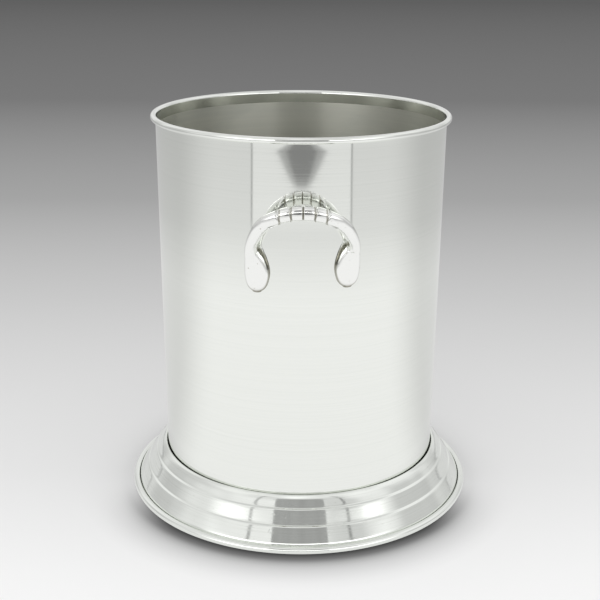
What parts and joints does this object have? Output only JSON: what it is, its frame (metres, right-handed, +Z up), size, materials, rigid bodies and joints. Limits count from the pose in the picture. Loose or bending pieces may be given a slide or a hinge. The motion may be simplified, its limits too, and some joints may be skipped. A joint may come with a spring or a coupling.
{
  "type": "champagne bucket",
  "caption": "Polished metal champagne bucket: wired-rim cylinder in a stepped flared foot, with a cast loop handle on each side.",
  "frame": {"origin": "centre of the circle that the foot rests on, on the rest plane", "axes": "+Z up along the bucket's axis, +X towards handle_right, so the handles lie on the X axis and the plain front faces -Y"},
  "size_m": [0.2174, 0.2174, 0.2385],
  "materials": {
    "shell_metal": "mirror polish with fine satin lines round the wall, satin inside",
    "foot_metal": "bright polish with faint spinning lines",
    "handle_metal": "polished casting with small pits",
    "wire_steel": "drawn wire",
    "plate_steel": "mill finish, dull",
    "screw_steel": "satin",
    "washer_rubber": "matt"
  },
  "bodies": {
    "root": {"bucket_shell": "shell_metal", "rim_wire": "wire_steel", "foot_skirt": "foot_metal", "foot_wire": "wire_steel", "foot_plate": "plate_steel", "handle_right": "handle_metal", "handle_left": "handle_metal", "screw_right_a": "screw_steel", "screw_right_b": "screw_steel", "screw_left_a": "screw_steel", "screw_left_b": "screw_steel", "washer_right_a": "washer_rubber", "washer_right_b": "washer_rubber", "washer_left_a": "washer_rubber", "washer_left_b": "washer_rubber"}
  },
  "joints": []
}
